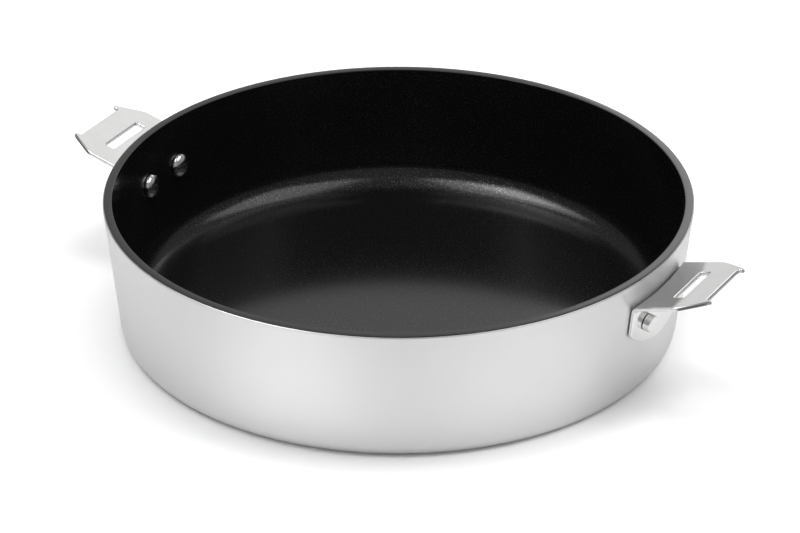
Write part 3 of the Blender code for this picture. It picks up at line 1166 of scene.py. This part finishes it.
    def cut_for_bending(self, work: bmesh.types.BMesh) -> None:
        """Divide the flat sheet where it will be curved.

        Args:
            work: The flat solid.
        """
        sections = [self.section(across) for across in (0.0, self.half_width)]
        bend_top = max(section.bend_start for section in sections) + self.cut_bend
        bend_end = min(section.bend_start - section.bend_length for section in sections)
        lowest = min(vert.co.x for vert in work.verts)
        cuts = []
        along = bend_top
        while along > lowest:
            cuts.append(((along, 0.0, 0.0), (1.0, 0.0, 0.0)))
            along -= self.cut_bend if along > bend_end - self.cut_bend else self.cut_down
        columns = math.ceil(self.half_width / self.cut_across)
        for column in range(-columns, columns + 1):
            cuts.append(((0.0, column * self.cut_across, 0.0), (0.0, 1.0, 0.0)))
        for point, normal in cuts:
            curved = [face for face in work.faces if face.calc_center_median().x < bend_top]
            around = {item for face in curved for item in (*face.verts, *face.edges)}
            bmesh.ops.bisect_plane(
                work, geom=[*curved, *around], dist=MERGE_DISTANCE,
                plane_co=point, plane_no=normal,
            )

    def mesh(self) -> Mesh:
        """The finished bracket's mesh, in place."""
        work = self.flat_solid()
        self.cut_for_bending(work)
        for vert in work.verts:
            vert.co = self.bent(vert.co)
        bmesh.ops.rotate(
            work, cent=(0.0, 0.0, 0.0), matrix=Matrix.Rotation(self.side.value, 3, "Z"),
            verts=work.verts,
        )
        zone_layer = work.faces.layers.int["zone"]
        for face in work.faces:
            face.smooth = True
            face.material_index = int(face[zone_layer] == Zone.SHEARED.value)
        for edge in work.edges:
            zones = {face[zone_layer] for face in edge.link_faces}
            edge.smooth = not (Zone.FACE.value in zones and len(zones) > 1)
        return mesh_of(f"stamped_bracket_{word(self.side)}", work)

    def build(self, faces: Material, edges: Material) -> None:
        """Build the bracket.

        Args:
            faces: Material of the sheet's faces.
            edges: Material of its sheared edges.
        """
        node = f"handle_bracket_{word(self.side)}"
        add_piece(self.mesh(), node, "bracket_steel", faces, edges)


@dataclass(frozen=True)
class Softbox:
    """A flat lamp; its place is counted to the right, away from the camera and up."""

    name: str
    place: Triple
    size: Point
    power: float
    facing: Triple = (0.0, 0.0, -1.0)
    mirrored: bool = True
    lighting: bool = True

    def build(self, turn: Matrix) -> None:
        """Hang the lamp.

        Args:
            turn: Turn from the camera's directions to those of the pan.
        """
        lamp = bpy.data.lights.new(self.name, "AREA")
        lamp.shape = "RECTANGLE"
        lamp.size, lamp.size_y = self.size
        lamp.energy = self.power
        hung = put_in_scene(self.name, lamp)
        hung.visible_glossy = self.mirrored
        hung.visible_diffuse = self.lighting
        facing = Vector(self.facing).to_track_quat("-Z", "Y").to_matrix().to_4x4()
        hung.matrix_world = turn @ Matrix.Translation(self.place) @ facing


@dataclass(frozen=True)
class Glow:
    """A soft bright area of the room; its direction is counted as for a softbox."""

    direction: Triple
    narrowness: float
    strength: float


@dataclass(frozen=True)
class Studio:
    """Pale floor, white surroundings, soft lamps and the camera.

    A reach says how far from the pan's axis a change of the floor starts and ends. What polished
    pieces mirror of the floor is painted light and shade: a near and a far brightness, the far one
    a painted shade, brighter patches of painted light, each counted to the right, away and in
    brightness, and painted shade near the pan's foot.
    """

    azimuth: float = math.radians(29.66)
    elevation: float = math.radians(28.30)
    roll: float = math.radians(0.021)
    camera_place: Triple = (0.83704, -1.46837, 0.93757)
    lens: float = 174.78
    sensor: float = 36.0
    floor_half: float = 4.0
    floor_level: float = -0.00005
    floor_colour: float = 0.80
    floor_seen: float = 1.15
    # painted light and shade: brightness of the floor in mirrors, near and far
    painted_mirror_brightness: Point = (0.94, 0.25)
    painted_far_shade_reach: Point = (0.25, 0.42)
    # painted shade in mirrors near the pan's foot
    painted_foot_shade: float = 0.90
    painted_foot_shade_reach: Point = (0.145, 0.205)
    # patches of painted light in what mirrors show of the floor
    painted_light_pools: tuple[Triple, ...] = ((-0.095, -0.175, 0.34), (0.095, -0.170, 0.17))
    painted_pool_radius: float = 0.12
    horizon_reach: Point = (0.5, 0.9)
    room: float = 0.19
    backdrop_seen: float = 1.3
    glows: tuple[Glow, ...] = (
        Glow((0.0, 0.973, 0.230), 5.5, 0.74),
        Glow((0.253, 0.735, 0.629), 26.0, 0.58),
        Glow((0.90, 0.37, 0.15), 4.0, 0.20),
        Glow((0.0, -0.94, 0.34), 3.0, 0.25),
        Glow((-0.90, 0.37, 0.15), 4.0, 0.14),
    )
    lamps: tuple[Softbox, ...] = (
        Softbox("left softbox", (-0.80, -0.15, 1.33), (1.15, 1.30), 10.2),
        Softbox(
            "left softbox's middle", (-0.80, -0.15, 1.32), (0.55, 0.75), 5.0, lighting=False,
        ),
        Softbox("right softbox", (0.90, -0.15, 1.33), (1.20, 1.30), 8.4),
        Softbox("right fill", (0.90, -0.15, 1.32), (0.50, 0.70), 5.4, mirrored=False),
        Softbox("overhead fill", (0.0, 0.0, 1.90), (0.60, 0.60), 7.4, mirrored=False),
        Softbox("rear card", (0.320, 0.910, 0.52), (0.40, 0.36), 0.55, (-0.33, -0.9, -0.48)),
    )

    @property
    def turn(self) -> Matrix:
        """Turn from the camera's directions to those of the pan."""
        return Matrix.Rotation(self.azimuth, 4, "Z")

    def floor_material(self) -> Material:
        """Material of the floor: its own colour, as lamps light it, and what mirrors show, which is
        painted light and shade.

        Camera rays see it near the pan at floor_seen, which is white but for the shadow, and far
        off as plain white.
        """
        material, sheet = new_material("pale floor")
        path = sheet.add("ShaderNodeLightPath").outputs
        radius = sheet.radius()
        # painted light and shade seen in mirrors: near and far brightness, brighter patches, darker
        # near the foot
        bright = sheet.spread(radius, *self.painted_far_shade_reach, *self.painted_mirror_brightness)
        for right, away, gain in self.painted_light_pools:
            middle = tuple(self.turn @ Vector((right, away, 0.0)))
            distance = sheet.vector_math("DISTANCE", sheet.place(), middle)
            painted_pool = sheet.spread(distance, 0.0, self.painted_pool_radius, gain, 0.0)
            bright = sheet.math("ADD", bright, painted_pool)
        # painted shade in mirrors close to the pan's foot
        share = sheet.spread(radius, *self.painted_foot_shade_reach, self.painted_foot_shade, 1.0)
        bright = sheet.math("MULTIPLY", bright, share)
        mirrored = sheet.math("MAXIMUM", path["Is Glossy Ray"], path["Is Transmission Ray"])
        level = sheet.spread(mirrored, 0.0, 1.0, self.floor_colour, bright)
        seen = sheet.math("MULTIPLY", path["Is Camera Ray"], self.floor_seen)
        ground = sheet.add("ShaderNodeBsdfDiffuse", sheet.math("MAXIMUM", level, seen))
        white = sheet.add("ShaderNodeEmission")
        far = sheet.spread(radius, *self.horizon_reach)
        far = sheet.math("MULTIPLY", far, path["Is Camera Ray"])
        sheet.finish_with(sheet.add(
            "ShaderNodeMixShader", far, ground.outputs[0], white.outputs[0],
        ))
        return material

    def build_floor(self) -> None:
        """Lay the floor."""
        work = bmesh.new()
        bmesh.ops.create_grid(work, x_segments=1, y_segments=1, size=self.floor_half)
        bmesh.ops.translate(work, vec=(0.0, 0.0, self.floor_level), verts=work.verts)
        floor = put_in_scene("pale_floor", mesh_of("pale_floor", work))
        floor.data.materials.append(self.floor_material())

    def build_room(self) -> None:
        """Surround the floor with a white room that is plain to the camera."""
        world = bpy.data.worlds.new("white room")
        bpy.context.scene.world = world
        world.use_nodes = True
        sheet = NodeSheet(world.node_tree)
        direction = sheet.add("ShaderNodeTexCoord").outputs["Generated"]
        level: Value = self.room
        for glow in self.glows:
            toward = (self.turn @ Vector(glow.direction)).normalized()
            facing = sheet.vector_math("DOT_PRODUCT", direction, tuple(toward))
            lobe = sheet.math("POWER", sheet.math("MAXIMUM", facing, 0.0), glow.narrowness)
            level = sheet.more(level, lobe, glow.strength)
        path = sheet.add("ShaderNodeLightPath").outputs
        seen = sheet.math("MULTIPLY", path["Is Camera Ray"], self.backdrop_seen)
        level = sheet.math("MAXIMUM", level, seen)
        sheet.finish_with(
            sheet.add("ShaderNodeBackground", Strength=level), "ShaderNodeOutputWorld",
        )

    def build_camera(self) -> None:
        """Set up the camera where the photograph was taken from."""
        lens = bpy.data.cameras.new("photograph camera")
        lens.lens, lens.sensor_width = self.lens, self.sensor
        camera = put_in_scene("photograph camera", lens)
        tilt = Matrix.Rotation(QUARTER_TURN - self.elevation, 4, "X")
        roll = Matrix.Rotation(self.roll, 4, "Z")
        camera.matrix_world = Matrix.Translation(self.camera_place) @ self.turn @ tilt @ roll
        bpy.context.scene.camera = camera

    def build(self) -> None:
        """Set up the studio."""
        self.build_camera()
        self.build_floor()
        self.build_room()
        for lamp in self.lamps:
            lamp.build(self.turn)
        bpy.context.scene.view_settings.view_transform = "Standard"


@dataclass(frozen=True)
class SautePan:
    """The whole pan."""

    vessel: Vessel = Vessel()

    def build(self) -> None:
        """Build the vessel, the brackets and the rivets."""
        sheet_steel, edge_steel = SheetSteel().material(), ShearedEdge().material()
        rivet_steel = PolishedSteel().material()
        every = []
        for side in Side:
            rivets = [Rivet(side, place, self.vessel) for place in Place]
            Bracket(side, self.vessel, rivets=rivets).build(sheet_steel, edge_steel)
            for rivet in rivets:
                rivet.build(rivet_steel)
            every += rivets
        self.vessel.build(every)


def main() -> None:
    """Load the frame and build studio and pan."""
    logging.basicConfig(level=logging.INFO, format="%(name)s: %(message)s")
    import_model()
    Studio().build()
    SautePan().build()


if __name__ == "__main__":
    main()
